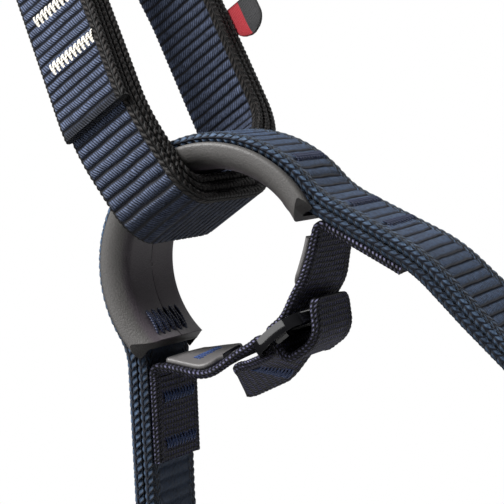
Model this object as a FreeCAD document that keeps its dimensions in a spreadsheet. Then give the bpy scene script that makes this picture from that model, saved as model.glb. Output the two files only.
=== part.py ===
"""Tie-in junction of a climbing harness: a moulded guard that carries two layers of structural strap,
the tape and three-bar slider that close it, and the belay loop that runs through it.

Frame, in millimetres: the origin is the centre of the guard's arch. +Z is the arch's axis of symmetry,
towards the belay loop. +Y is the arch's own axis, towards the wearer. +X is to the right of the front.
"""
import FreeCAD, Part
import math
import os
import Sketcher

doc = FreeCAD.newDocument("harness_tie_in_loop")
V = FreeCAD.Vector

# ---------------------------------------------------------------- driving sizes
SIZES = (
    ("guard_inner_radius", 18.8, "guard: radius of the face the belay loop bears on"),
    ("guard_wall", 2.4, "guard: thickness of the floor under the strap"),
    ("guard_rim_radius", 24, "guard: outer radius of the two flanges"),
    ("guard_flange", 1.9, "guard: thickness of each flange"),
    ("guard_span", 200, "guard: angle of the arch, in degrees"),
    ("guard_slip", 6, "guard: how far it sits round to the left on the strap, in degrees"),
    ("guard_rim_round", 4, "guard: rounding of the two inner rims"),
    ("channel_side_gap", 0.3, "guard: clearance beside the strap"),
    ("layer_gap", 0.06, "clearance between two sewn layers"),
    ("strap_width", 18.8, "strap: webbing width"),
    ("strap_layer", 2.2, "strap: webbing thickness"),
    ("leave_left", 90, "strap: angle from the top where the left leg leaves the guard"),
    ("leave_right", 80, "strap: angle from the top where the right leg leaves the guard"),
    ("leg_lean", 31, "strap: outward lean of both legs below the guard, in degrees"),
    ("flare_left", 14, "strap: radius of the left leg's outward turn"),
    ("flare_right", 20, "strap: radius of the right leg's outward turn"),
    ("leg_run_left", 27, "strap: straight run of the left leg before it droops"),
    ("leg_run_right", 16, "strap: straight run of the right leg before it droops"),
    ("droop_turn", 17, "strap: turn back towards straight down, in degrees"),
    ("droop_radius", 30, "strap: radius of that turn"),
    ("leg_end_left", 15.5, "strap: straight run to the left leg's cut end"),
    ("leg_end_right", 28, "strap: straight run to the right leg's cut end"),
    ("tape_width", 17.8, "closing tape: width"),
    ("tape_layer", 1.5, "closing tape: thickness"),
    ("tab_gap", 3, "closing tape: gap along the strap from the guard's end to a sewn tab"),
    ("tab_length", 16.5, "closing tape: length of a sewn tab"),
    ("fold_radius", 1.4, "closing tape: middle radius of the fold at the top of a tab"),
    ("liner_thick", 1.2, "wear liner: thickness"),
    ("liner_width", 16.6, "wear liner: width"),
    ("liner_length", 11, "wear liner: length along the tape"),
    ("slider_length", 12, "slider: length along the tape"),
    ("slider_width", 23, "slider: width across the tape"),
    ("slider_thick", 2.4, "slider: thickness of its bars"),
    ("slider_slot", 3.4, "slider: width of each slot"),
    ("slider_centre_bar", 2.8, "slider: width of the middle bar"),
    ("slider_slot_gap", 0.4, "slider: clearance at each end of a slot"),
    ("slider_gap", 0.15, "slider: clearance between a bar and the tape round it"),
    ("slider_tilt", 5, "slider: tilt of the slider up to the right, in degrees"),
    ("slider_x", 4.7, "slider: centre, across"),
    ("slider_drop", 17.4, "slider: centre, below the arch's centre"),
    ("belay_width", 16.4, "belay loop: webbing width"),
    ("belay_layer", 1.85, "belay loop: webbing thickness"),
    ("belay_tilt", 2.6, "belay loop: sideways tilt, in degrees"),
    ("belay_seat", 16.5, "belay loop: height of the inside of its bottom run"),
    ("belay_side_gap", 0.4, "belay loop: clearance beside the guard"),
    ("belay_height", 101, "belay loop: height of the inside of its top"),
    ("belay_rear_foot", 33, "belay loop: where the rear leg turns up"),
    ("belay_front_lean", 24, "belay loop: lean of the front leg, in degrees"),
    ("belay_top_gap", 34, "belay loop: gap between the legs at the top"),
    ("lap_start", 14.5, "belay loop: start of the lapped end, along the front leg from its bottom corner"),
    ("lap_length", 52, "belay loop: length of the lapped end"),
    ("thread_height", 0.45, "bar tacks: how far the thread stands proud"),
    ("tack_length", 12.6, "bar tacks: length across the webbing"),
    ("tack_band", 2.6, "bar tacks: width of the zigzag"),
)
sheet = doc.addObject("Spreadsheet::Sheet", "Sizes")
for row, (alias, value, meaning) in enumerate(SIZES, start=1):
    sheet.set("A%d" % row, meaning)
    sheet.set("B%d" % row, str(value))
    sheet.setAlias("B%d" % row, alias)
doc.recompute()


def size(alias):
    return float(sheet.get(alias))


# ---------------------------------------------------------------- webbing seen edge on
class Path:
    """A line of straight runs and tangent bends. Headings are in degrees, left bends positive.
    A step is (u, v, heading, length, turn)."""

    def __init__(self, u=0.0, v=0.0, heading=0.0):
        self.steps = []
        self.end = (u, v, heading)

    def run(self, length):
        return self._add(length, 0.0)

    def bend(self, radius, turn):
        return self._add(radius * math.radians(abs(turn)), turn)

    def _add(self, length, turn):
        self.steps.append((*self.end, length, turn))
        self.end = self.at(self.length())
        return self

    def length(self):
        return sum(step[3] for step in self.steps)

    def at(self, along):
        """Point and heading at a distance along the line."""
        for u, v, heading, length, turn in self.steps:
            if along <= length + 1e-9:
                break
            along -= length
        share = turn * along / length
        if turn:
            radius = length / math.radians(turn)
            a, b = math.radians(heading), math.radians(heading + share)
            return (u + radius * (math.sin(b) - math.sin(a)),
                    v - radius * (math.cos(b) - math.cos(a)), heading + share)
        a = math.radians(heading)
        return u + along * math.cos(a), v + along * math.sin(a), heading

    def part(self, start, stop):
        """The stretch of this line between two distances along it."""
        piece = Path(*self.at(start))
        passed = 0.0
        for u, v, heading, length, turn in self.steps:
            low, high = max(start - passed, 0.0), min(stop - passed, length)
            if high - low > 1e-6:
                piece._add(high - low, turn * (high - low) / length)
            passed += length
        return piece

    def side(self, offset):
        """Edges of the line moved to its left by an offset, as corner points and arc middles."""
        spans, passed = [], 0.0
        for u, v, heading, length, turn in self.steps:
            stops = (0.0, 0.5, 1.0) if turn else (0.0, 1.0)
            spans.append([self._beside(passed + length * stop, offset) for stop in stops])
            passed += length
        return spans

    def _beside(self, along, offset):
        u, v, heading = self.at(along)
        a = math.radians(heading)
        return u - offset * math.sin(a), v + offset * math.cos(a)


def through(corners, closed=False):
    """A path along straight lines between corners (u, v, radius), each corner rounded."""
    count = len(corners)
    turns = []
    for i in range(count):
        before, here, after = corners[i - 1], corners[i], corners[(i + 1) % count]
        if not closed and i in (0, count - 1):
            turns.append((0.0, 0.0))
            continue
        into = math.atan2(here[1] - before[1], here[0] - before[0])
        out = math.atan2(after[1] - here[1], after[0] - here[0])
        turn = (out - into + math.pi) % (2 * math.pi) - math.pi
        turns.append((math.degrees(turn), here[2] * math.tan(abs(turn) / 2)))
    path = None
    for i in range(count if closed else count - 1):
        here, after = corners[i], corners[(i + 1) % count]
        heading = math.atan2(after[1] - here[1], after[0] - here[0])
        gap = math.hypot(after[0] - here[0], after[1] - here[1])
        if path is None:
            trim = turns[i][1]
            path = Path(here[0] + trim * math.cos(heading), here[1] + trim * math.sin(heading),
                        math.degrees(heading))
        path.run(gap - turns[i][1] - turns[(i + 1) % count][1])
        turn = turns[(i + 1) % count][0]
        if turn:
            path.bend(after[2], turn)
    return path


def edges(spans, place):
    made = []
    for span in spans:
        points = [place(*point) for point in span]
        if len(points) == 3:
            made.append(Part.Arc(*points).toShape())
        else:
            made.append(Part.LineSegment(*points).toShape())
    return made


def strip_face(path, near, far, place):
    """The face between two offsets of an open path."""
    one, other = path.side(near), path.side(far)
    caps = [[one[-1][-1], other[-1][-1]], [other[0][0], one[0][0]]]
    return Part.Face(Part.Wire(Part.__sortEdges__(edges(one + other + caps, place))))


def ring_face(path, near, far, place):
    """The face between two offsets of a closed path."""
    inner = Part.Face(Part.Wire(Part.__sortEdges__(edges(path.side(near), place))))
    outer = Part.Face(Part.Wire(Part.__sortEdges__(edges(path.side(far), place))))
    return outer.cut(inner).Faces[0]


def across_y(u, v):
    return V(u, 0, v)


def across_x(u, v):
    return V(0, u, v)


def about_arch(angle):
    """A turn about the arch's axis, in degrees. A positive turn carries the top to the right."""
    return FreeCAD.Placement(V(0, 0, 0), FreeCAD.Rotation(V(0, 1, 0), angle))


nodes = []


def webbing(name, face, direction, width):
    """A solid of one width, made by extruding its edge-on face both ways."""
    profile = doc.addObject("Part::Feature", name + "_profile")
    profile.Shape = face
    solid = doc.addObject("Part::Extrusion", name)
    solid.Base = profile
    solid.DirMode = "Custom"
    solid.Dir = direction
    solid.Symmetric = True
    solid.Solid = True
    solid.setExpression("LengthFwd", width)
    solid.Label = name
    return solid


def keep(node):
    nodes.append(node)
    return node


def group(name, solids):
    """Like pieces kept together in one node, as separate solids."""
    made = doc.addObject("Part::Compound", name)
    made.Links = solids
    made.Label = name
    return keep(made)


def plane(body, role):
    return next(f for f in body.Origin.OriginFeatures if f.Role == role)


def new_sketch(body, name, role):
    sketch = body.newObject("Sketcher::SketchObject", name)
    sketch.AttachmentSupport = [(plane(body, role), "")]
    sketch.MapMode = "FlatFace"
    return sketch


def closed_lines(sketch, points):
    """Straight lines from point to point and back, joined end to end."""
    count = len(points)
    for i in range(count):
        sketch.addGeometry(Part.LineSegment(V(*points[i], 0), V(*points[(i + 1) % count], 0)), False)
    for i in range(count):
        sketch.addConstraint(Sketcher.Constraint("Coincident", i, 2, (i + 1) % count, 1))


def drive(sketch, kind, places, value, expression):
    """A dimension whose value follows an expression on the sheet."""
    index = sketch.addConstraint(Sketcher.Constraint(kind, *places, value))
    sketch.setExpression("Constraints[%d]" % index, expression)


# ---------------------------------------------------------------- guard
# A moulded channel bent into an arch. It is open outwards, and the strap lies in it.
guard_half_width = size("strap_width") / 2 + size("channel_side_gap") + size("guard_flange")
floor_radius = size("guard_inner_radius") + size("guard_wall")


def make_guard():
    body = doc.addObject("PartDesign::Body", "guard")
    sketch = new_sketch(body, "guard_section", "YZ_Plane")
    inner, rim, rounding = size("guard_inner_radius"), size("guard_rim_radius"), size("guard_rim_round")
    wide, inside = guard_half_width, guard_half_width - size("guard_flange")
    up, flat = V(wide, inner + rounding, 0), wide - rounding
    corners = [up, V(wide, rim, 0), V(inside, rim, 0), V(inside, floor_radius, 0)]
    corners += [V(-corner.x, corner.y, 0) for corner in reversed(corners)]
    sketch.addGeometry(Part.LineSegment(V(-flat, inner, 0), V(flat, inner, 0)), False)
    quarter = math.pi / 2
    turn = Part.Circle(V(flat, inner + rounding, 0), V(0, 0, 1), rounding)
    sketch.addGeometry(Part.ArcOfCircle(turn, 3 * quarter, 4 * quarter), False)
    for start, stop in zip(corners, corners[1:]):
        sketch.addGeometry(Part.LineSegment(start, stop), False)
    turn = Part.Circle(V(-flat, inner + rounding, 0), V(0, 0, 1), rounding)
    sketch.addGeometry(Part.ArcOfCircle(turn, 2 * quarter, 3 * quarter), False)
    # The lines and arcs are numbered from the inner face, round the right flange and back.
    for i in (0, 1, 8, 9):
        sketch.addConstraint(Sketcher.Constraint("Tangent", i, 2, (i + 1) % 10, 1))
    for i in range(2, 8):
        sketch.addConstraint(Sketcher.Constraint("Coincident", i, 2, i + 1, 1))
    for kind, line in (("Vertical", 2), ("Horizontal", 3), ("Vertical", 4)):
        sketch.addConstraint(Sketcher.Constraint(kind, line))
    sketch.addConstraint(Sketcher.Constraint("Equal", 1, 9))
    for one, other in (((0, 1), (0, 2)), ((2, 2), (8, 1)), ((3, 2), (7, 1)), ((4, 2), (6, 1))):
        sketch.addConstraint(Sketcher.Constraint("Symmetric", *one, *other, -2))
    half = "Sizes.strap_width / 2 + Sizes.channel_side_gap"
    drive(sketch, "Radius", (1,), rounding, "Sizes.guard_rim_round")
    drive(sketch, "DistanceX", (-1, 1, 2, 2), wide, half + " + Sizes.guard_flange")
    drive(sketch, "DistanceX", (-1, 1, 3, 2), inside, half)
    drive(sketch, "DistanceY", (-1, 1, 0, 2), inner, "Sizes.guard_inner_radius")
    drive(sketch, "DistanceY", (-1, 1, 2, 2), rim, "Sizes.guard_rim_radius")
    drive(sketch, "DistanceY", (-1, 1, 4, 2), floor_radius, "Sizes.guard_inner_radius + Sizes.guard_wall")
    arch = body.newObject("PartDesign::Revolution", "guard_arch")
    arch.Profile = sketch
    arch.ReferenceAxis = (sketch, ["H_Axis"])
    arch.Midplane = True
    arch.setExpression("Angle", "Sizes.guard_span")
    body.Placement = about_arch(-size("guard_slip"))
    body.Label = "guard"
    keep(body)


make_guard()

# ---------------------------------------------------------------- structural strap
# Two layers of webbing lie in the guard and leave it as two legs. The line runs between the layers.
seam_radius = floor_radius + size("layer_gap") + size("strap_layer") + size("layer_gap") / 2


LEFT, RIGHT = -1, 1
leave = {LEFT: size("leave_left"), RIGHT: size("leave_right")}
flare = {LEFT: size("flare_left"), RIGHT: size("flare_right")}
flare_turn = {side: size("leg_lean") + leave[side] - 90 for side in (LEFT, RIGHT)}

left_leg = Path(0, seam_radius, 0)
left_leg.bend(seam_radius, -leave[LEFT]).bend(flare[LEFT], flare_turn[LEFT])
left_leg.run(size("leg_run_left")).bend(size("droop_radius"), -size("droop_turn")).run(size("leg_end_left"))
strap_middle = left_leg.length()

strap = Path(-left_leg.end[0], left_leg.end[1], -left_leg.end[2])
strap.run(size("leg_end_left")).bend(size("droop_radius"), -size("droop_turn")).run(size("leg_run_left"))
strap.bend(flare[LEFT], flare_turn[LEFT]).bend(seam_radius, -leave[LEFT] - leave[RIGHT])
strap.bend(flare[RIGHT], flare_turn[RIGHT])
strap.run(size("leg_run_right")).bend(size("droop_radius"), -size("droop_turn")).run(size("leg_end_right"))
half_gap = size("layer_gap") / 2
strap_face = half_gap + size("strap_layer")
for name, near, far in (("strap_outer_layer", half_gap, strap_face),
                        ("strap_inner_layer", -strap_face, -half_gap)):
    keep(webbing(name, strip_face(strap, near, far, across_y), V(0, 1, 0), "Sizes.strap_width"))


def tack(name, path, centre, band, near, far, width="Sizes.tack_length"):
    """A bar tack: a raised band of thread across the webbing."""
    stretch = path.part(centre - band / 2, centre + band / 2)
    return webbing(name, strip_face(stretch, near, far, across_y), V(0, 1, 0), width)


# Bar tacks through both layers on the outside of each leg.
SIDES = (("left", LEFT), ("right", RIGHT))
tack_steps = (-13.5, 1, 9)
guard_end = {side: math.radians(size("guard_span") / 2 - side * size("guard_slip")) for _, side in SIDES}
tab_start = {side: seam_radius * guard_end[side] + size("tab_gap") for _, side in SIDES}
thread = size("thread_height")
for side, sign in SIDES:
    bars = []
    for i, step in enumerate(tack_steps, start=1):
        centre = strap_middle + sign * (tab_start[sign] + step)
        bars.append(tack("strap_tack_%s_%d" % (side, i), strap, centre, size("tack_band"),
                         strap_face + size("layer_gap"), strap_face + size("layer_gap") + thread))
    group("strap_tacks_" + side, bars)

# Thread that holds the guard to the strap shows on the guard's inner face, near each end.
guard_tack_inset = 12.5
guard_tack_band = 6.5
thread_radius = size("guard_inner_radius") - size("layer_gap")
for side, sign in SIDES:
    line = Path(0, thread_radius, 0).bend(thread_radius, -size("guard_span") / 2)
    stop = line.length() - math.radians(guard_tack_inset) * thread_radius + guard_tack_band / 2
    face = strip_face(line.part(stop - guard_tack_band, stop), -thread, 0, across_y)
    if sign == LEFT:
        face = face.mirror(V(0, 0, 0), V(1, 0, 0))
    bar = webbing("guard_tack_" + side, face, V(0, 1, 0), "Sizes.tack_length")
    bar.Placement = about_arch(-size("guard_slip"))
    keep(bar)

# ---------------------------------------------------------------- closing tape tabs
# Each end of the closing tape is sewn flat to the inside of a strap leg, just below the guard.
tab_near = -(strap_face + size("layer_gap"))
tab_far = tab_near - size("tape_layer")
tab_middle = (tab_near + tab_far) / 2
for side, sign in SIDES:
    top = strap_middle + sign * tab_start[sign]
    low, high = sorted((top, top + sign * size("tab_length")))
    keep(webbing("tape_tab_" + side, strip_face(strap.part(low, high), tab_near, tab_far, across_y),
                 V(0, 1, 0), "Sizes.tape_width"))
    bars = []
    for i, step in enumerate((4, size("tab_length") - 3.5), start=1):
        bars.append(tack("tab_tack_%s_%d" % (side, i), strap, top + sign * step, size("tack_band"),
                         tab_far - size("layer_gap") - thread, tab_far - size("layer_gap")))
    group("tab_tacks_" + side, bars)

# ---------------------------------------------------------------- slider
# A flat three-bar slider. Its middle bar carries the adjustable tape, and its left bar the fixed one.
slider_z = -size("slider_drop")
slider_lean = math.radians(size("slider_tilt"))
bar_half = size("slider_centre_bar") / 2
slot_far = bar_half + size("slider_slot")


def slider_point(along, up):
    """A point given along the slider and above its middle plane."""
    return (size("slider_x") + along * math.cos(slider_lean) - up * math.sin(slider_lean),
            slider_z + along * math.sin(slider_lean) + up * math.cos(slider_lean))


def make_slider():
    body = doc.addObject("PartDesign::Body", "slider")
    length, width = size("slider_length"), size("slider_width")
    outline = new_sketch(body, "slider_outline", "XY_Plane")
    closed_lines(outline, [(-length / 2, -width / 2), (length / 2, -width / 2),
                           (length / 2, width / 2), (-length / 2, width / 2)])
    for line, kind in ((0, "Horizontal"), (1, "Vertical"), (2, "Horizontal"), (3, "Vertical")):
        outline.addConstraint(Sketcher.Constraint(kind, line))
    outline.addConstraint(Sketcher.Constraint("Symmetric", 0, 1, 2, 1, -1, 1))
    drive(outline, "DistanceX", (0, 1, 0, 2), length, "Sizes.slider_length")
    drive(outline, "DistanceY", (1, 1, 1, 2), width, "Sizes.slider_width")
    plate = body.newObject("PartDesign::Pad", "slider_plate")
    plate.Profile = outline
    plate.Midplane = True
    plate.setExpression("Length", "Sizes.slider_thick")

    slot_half = size("tape_width") / 2 + size("slider_slot_gap")
    slot = new_sketch(body, "slider_slot_outline", "XY_Plane")
    closed_lines(slot, [(bar_half, -slot_half), (slot_far, -slot_half),
                        (slot_far, slot_half), (bar_half, slot_half)])
    for line, kind in ((0, "Horizontal"), (1, "Vertical"), (2, "Horizontal")):
        slot.addConstraint(Sketcher.Constraint(kind, line))
    slot.addConstraint(Sketcher.Constraint("Symmetric", 0, 1, 2, 2, -1))
    drive(slot, "DistanceX", (-1, 1, 0, 1), bar_half, "Sizes.slider_centre_bar / 2")
    drive(slot, "DistanceX", (0, 1, 0, 2), size("slider_slot"), "Sizes.slider_slot")
    drive(slot, "DistanceY", (1, 1, 1, 2), 2 * slot_half,
          "Sizes.tape_width + 2 * Sizes.slider_slot_gap")
    cut = body.newObject("PartDesign::Pocket", "slider_slot_right")
    cut.Profile = slot
    cut.Type = "ThroughAll"
    cut.Midplane = True
    doc.recompute()
    both = body.newObject("PartDesign::Mirrored", "slider_slots")
    both.Originals = [cut]
    both.MirrorPlane = (plane(body, "YZ_Plane"), [""])
    body.Tip = both
    doc.recompute()
    corners = ["Edge%d" % i for i, edge in enumerate(both.Shape.Edges, start=1)
               if abs(edge.Length - size("slider_thick")) < 1e-4
               and abs(abs(edge.CenterOfMass.x) - length / 2) < 1e-4]
    rounding = body.newObject("PartDesign::Fillet", "slider_corners")
    rounding.Base = (both, corners)
    rounding.setExpression("Radius", "Sizes.slider_centre_bar")
    body.Placement = FreeCAD.Placement(V(size("slider_x"), 0, slider_z),
                                       FreeCAD.Rotation(V(0, 1, 0), -size("slider_tilt")))
    body.Label = "slider"
    keep(body)


make_slider()

# ---------------------------------------------------------------- closing tape runs
# The fixed run goes from the left tab to the slider's left bar, and the adjustable run from the
# right tab over the slider to its middle bar. Both fold over where they leave their tabs.
bar_top = size("slider_thick") / 2 + size("slider_gap") + size("tape_layer") / 2
wrap_radius = size("tape_layer") / 2 + 0.35
drop_left = -slot_far + size("slider_gap") + size("tape_layer") / 2
drop_right = -bar_half - size("slider_gap") - size("tape_layer") / 2


def tab_corner(sign):
    """Where the tab's middle line meets the line of the run, at the top of the tab."""
    u, v, heading = strap.at(strap_middle + sign * tab_start[sign])
    a = math.radians(heading)
    return u - tab_middle * math.sin(a), v + tab_middle * math.cos(a), heading


fold_rise = 1.6 * size("fold_radius")
runs = {}
for side, sign, waist in (("left", LEFT, (-13.2, -14.6)), ("right", RIGHT, (14.4, -11.4))):
    u, v, heading = tab_corner(sign)
    a = math.radians(heading)
    fold = (u - sign * fold_rise * math.cos(a), v - sign * fold_rise * math.sin(a), size("fold_radius"))
    if side == "left":
        arrive = slider_point(-slot_far - 2.5, bar_top)
        turn_in = slider_point(drop_left, bar_top)
        stop = slider_point(drop_left, 0)
    else:
        arrive = slider_point(slot_far - 2.5, bar_top)
        turn_in = slider_point(drop_right, bar_top)
        stop = slider_point(drop_right, 0)
    runs[side] = through([(u, v, 0), fold, (*waist, 9), (*arrive, 9), (*turn_in, wrap_radius),
                          (*stop, 0)])
    half = size("tape_layer") / 2
    keep(webbing("tape_run_" + side, strip_face(runs[side], -half, half, across_y),
                 V(0, 1, 0), "Sizes.tape_width"))

# ---------------------------------------------------------------- wear liners
# A moulded strip lies on the inside of the tape, just below each end of the guard.
liner_start = 4.6
for side, inside in (("left", 1), ("right", -1)):
    near = inside * (size("tape_layer") / 2 + size("layer_gap"))
    far = near + inside * size("liner_thick")
    stretch = runs[side].part(liner_start, liner_start + size("liner_length"))
    keep(webbing("liner_" + side, strip_face(stretch, near, far, across_y),
                 V(0, 1, 0), "Sizes.liner_width"))

# ---------------------------------------------------------------- tape beyond the slider
# The fixed tape turns back under the left bar and is sewn short. The adjustable tape turns back under
# the middle bar and hangs below the slider as a tail that curls up at its end.
half = size("tape_layer") / 2
under = -bar_top
back = through([(*slider_point(drop_left, 0), 0), (*slider_point(drop_left, under), wrap_radius),
                (*slider_point(-slot_far - 5.5, under), 12), (-15.4, -19, 0)])
keep(webbing("tape_return", strip_face(back, -half, half, across_y), V(0, 1, 0), "Sizes.tape_width"))
return_tack = tack("return_tack", back, back.length() * 0.42, size("tack_band"),
                   half + size("layer_gap"), half + size("layer_gap") + thread)
keep(return_tack)

tail = through([(*slider_point(drop_right, 0), 0), (*slider_point(drop_right, under - 2.3), 2),
                (10.1, -21.7, 5), (13.4, -14.8, 0)])
keep(webbing("tape_tail", strip_face(tail, -half, half, across_y), V(0, 1, 0), "Sizes.tape_width"))

# ---------------------------------------------------------------- belay loop
# One webbing wound three times and lapped, drawn from the side. Its bottom run passes under the arch
# between the flanges' rims, the front leg rises close in front of the guard, and the rear leg
# swings wide behind it. The corners run clockwise, so that outwards is to the left of the line.
front = -(guard_half_width + size("belay_side_gap"))
knee = size("guard_rim_radius") + 7.6
rise = size("belay_height") - knee
front_top = front + rise * math.tan(math.radians(size("belay_front_lean")))
seat = size("belay_seat")
belay = through([
    (front, seat, 2.2),
    (front, knee, 26),
    (front_top, size("belay_height"), 12),
    (front_top + size("belay_top_gap"), size("belay_height") - 1, 12),
    (size("belay_rear_foot") + 12, 63, 60),
    (size("belay_rear_foot"), 30, 13),
    (guard_half_width + 1, seat, 11),
], closed=True)


def tilted(piece):
    """Tilt a belay loop piece sideways about the arch's axis."""
    piece.Placement = about_arch(-size("belay_tilt"))
    return piece


layer_pitch = size("belay_layer") + size("layer_gap")
for i, name in enumerate(("belay_turn_inner", "belay_turn_middle", "belay_turn_outer")):
    face = ring_face(belay, i * layer_pitch, i * layer_pitch + size("belay_layer"), across_x)
    keep(tilted(webbing(name, face, V(1, 0, 0), "Sizes.belay_width")))
lap_face = 3 * layer_pitch
lap = belay.part(size("lap_start"), size("lap_start") + size("lap_length"))
keep(tilted(webbing("belay_lap_end", strip_face(lap, lap_face, lap_face + size("belay_layer"), across_x),
                    V(1, 0, 0), "Sizes.belay_width")))
lap_tack_length = 11.8
sheet_top = lap_face + size("belay_layer") + size("layer_gap")
bars = []
for i, step in enumerate((15, 27.5, 40), start=1):
    stretch = lap.part(step - size("tack_band") / 2, step + size("tack_band") / 2)
    bar = webbing("lap_tack_%d" % i, strip_face(stretch, sheet_top, sheet_top + thread, across_x),
                  V(1, 0, 0), "%g" % lap_tack_length)
    bars.append(bar)
tilted(group("belay_lap_tacks", bars))

# A small textile label is sewn to the right edge of the rear leg.
tag_height, tag_width, tag_thick = 9, 8, 0.9
tag_start = 0.663 * belay.length()
tag_path = belay.part(tag_start, tag_start + tag_height)
tag = webbing("side_tag", strip_face(tag_path, lap_face, lap_face + tag_thick, across_x),
              V(1, 0, 0), "%g" % tag_width)
aside = FreeCAD.Placement(V(size("belay_width") / 2 + 2.8, 0, 0), FreeCAD.Rotation())
tag.Placement = about_arch(-size("belay_tilt")).multiply(aside)
keep(tag)

# ---------------------------------------------------------------- check and write
doc.recompute()
faults = [o.Label for o in doc.Objects if "Invalid" in o.State or "Error" in o.State]
for node in nodes:
    if node.Shape.isNull() or not node.Shape.isValid() or node.Shape.Volume <= 0:
        faults.append(node.Label)
if faults:
    raise SystemExit("failed: " + ", ".join(faults))
os.makedirs("parts", exist_ok=True)
for node in nodes:
    node.Shape.exportStep("parts/%s.step" % node.Label)
    print("%-20s %9.1f mm3" % (node.Label, node.Shape.Volume))
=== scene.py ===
"""Tie-in junction of a climbing harness: a strap arch in a moulded guard, the tape and slider that
close it, and the belay loop that hangs through it."""
import math

import bmesh
import bpy
from mathutils import Matrix, Vector


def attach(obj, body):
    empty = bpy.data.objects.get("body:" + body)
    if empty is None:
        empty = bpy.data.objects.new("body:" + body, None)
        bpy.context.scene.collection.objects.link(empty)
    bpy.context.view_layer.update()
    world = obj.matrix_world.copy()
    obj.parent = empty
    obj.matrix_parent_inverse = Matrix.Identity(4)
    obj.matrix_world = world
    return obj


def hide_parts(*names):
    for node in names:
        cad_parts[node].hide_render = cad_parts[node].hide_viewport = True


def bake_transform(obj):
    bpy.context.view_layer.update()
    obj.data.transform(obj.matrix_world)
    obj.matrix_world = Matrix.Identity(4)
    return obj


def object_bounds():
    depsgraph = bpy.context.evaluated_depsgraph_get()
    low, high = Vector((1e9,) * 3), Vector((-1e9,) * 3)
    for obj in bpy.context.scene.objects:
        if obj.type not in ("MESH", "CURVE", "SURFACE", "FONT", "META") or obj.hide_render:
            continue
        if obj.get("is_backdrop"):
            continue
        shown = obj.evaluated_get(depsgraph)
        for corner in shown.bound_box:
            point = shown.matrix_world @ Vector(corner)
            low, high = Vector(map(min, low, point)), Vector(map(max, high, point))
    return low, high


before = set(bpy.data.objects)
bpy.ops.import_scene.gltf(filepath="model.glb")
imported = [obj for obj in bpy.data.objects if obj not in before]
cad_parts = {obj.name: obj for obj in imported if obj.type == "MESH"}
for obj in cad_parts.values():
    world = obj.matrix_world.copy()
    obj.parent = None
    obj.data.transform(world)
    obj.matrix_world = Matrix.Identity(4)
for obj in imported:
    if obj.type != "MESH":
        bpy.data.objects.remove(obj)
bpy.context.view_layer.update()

# ---------------------------------------------------------------- belay loop
# One 16 mm webbing wound three times round, its end lapped down the front leg. It is woven in
# ribs of blue nylon over a black core, with a broad black edge on its right and a narrow one on its
# left, and the lap is sewn with off-white thread.


class Line:
    """A line of straight runs and round bends, in millimetres. Left bends are positive."""

    def __init__(self, u, v, heading):
        self.steps, self.end, self.length = [], (u, v, heading), 0.0

    def run(self, length, turn=0.0):
        self.steps.append((*self.end, length, turn))
        self.length += length
        self.end = self.at(self.length)
        return self

    def bend(self, radius, turn):
        return self.run(radius * math.radians(abs(turn)), turn)

    def at(self, along):
        for u, v, heading, length, turn in self.steps:
            if along <= length + 1e-9:
                break
            along -= length
        a = math.radians(heading)
        if not turn:
            return u + along * math.cos(a), v + along * math.sin(a), heading
        radius = length / math.radians(turn)
        b = a + math.radians(turn) * along / length
        return (u + radius * (math.sin(b) - math.sin(a)), v - radius * (math.cos(b) - math.cos(a)),
                math.degrees(b))


def rounded_line(corners, closed=False):
    """The line through corners (u, v, radius), each corner rounded to its radius."""
    count, turns = len(corners), []
    for i, here in enumerate(corners):
        before, after = corners[i - 1], corners[(i + 1) % count]
        into = math.atan2(here[1] - before[1], here[0] - before[0])
        out = math.atan2(after[1] - here[1], after[0] - here[0])
        turn = (out - into + math.pi) % (2 * math.pi) - math.pi
        if not closed and i in (0, count - 1):
            turn = 0.0
        turns.append((math.degrees(turn), here[2] * math.tan(abs(turn) / 2)))
    line = None
    for i in range(count if closed else count - 1):
        here, after = corners[i], corners[(i + 1) % count]
        turn, trim = turns[(i + 1) % count]
        heading = math.atan2(after[1] - here[1], after[0] - here[0])
        if line is None:
            line = Line(here[0] + turns[i][1] * math.cos(heading),
                        here[1] + turns[i][1] * math.sin(heading), math.degrees(heading))
        line.run(math.hypot(after[0] - here[0], after[1] - here[1]) - turns[i][1] - trim)
        if turn:
            line.bend(after[2], turn)
    return line


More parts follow.
